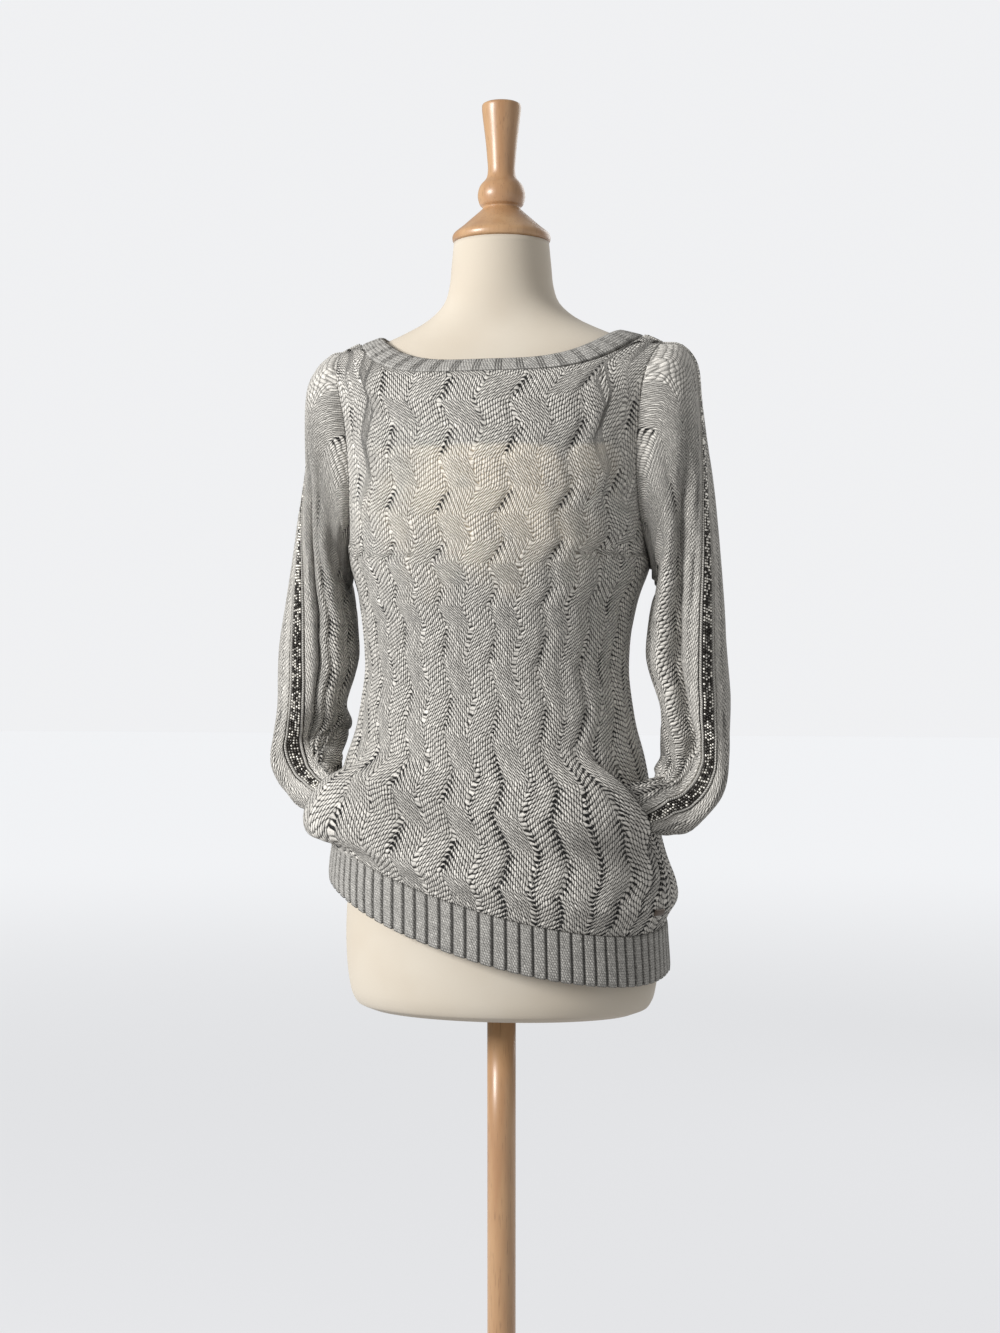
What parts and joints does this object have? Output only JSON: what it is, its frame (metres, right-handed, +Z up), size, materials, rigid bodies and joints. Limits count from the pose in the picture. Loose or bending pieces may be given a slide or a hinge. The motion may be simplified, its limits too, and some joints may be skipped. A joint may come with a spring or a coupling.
{
  "type": "cable knit sweater on a dress form",
  "caption": "A boat-neck cable knit sweater with ribbed neckband and hem and bead-trimmed sleeves tucked into slanted pockets, worn by a limbless dress form on a round stand",
  "frame": {"origin": "centre of the underside of the round stand base", "axes": "+Z up along the form's pole; the garment's front faces -Y; +X is the viewer's right"},
  "size_m": [0.4847, 0.4, 1.64],
  "materials": {
    "knit": "grey marl cotton knit, matt",
    "beads": "small smoked metal and glass beads",
    "bronze": "dark bronze, satin",
    "cover": "cream jersey cover, matt",
    "beech": "turned beech, satin lacquer"
  },
  "bodies": {
    "root": {"front": "knit", "back": "knit", "hem_rib_front": "knit", "hem_rib_back": "knit", "neckband_front": "knit", "neckband_back": "knit", "sleeve_right": "knit", "sleeve_left": "knit", "cuff_right": "knit", "cuff_left": "knit", "pocket_right": "knit", "pocket_left": "knit", "bead_trim_right": "beads", "bead_trim_left": "beads", "metal_bar": "bronze", "form_torso": "cover", "neck_cap": "beech", "stand_pole": "beech", "stand_base": "beech"}
  },
  "joints": []
}
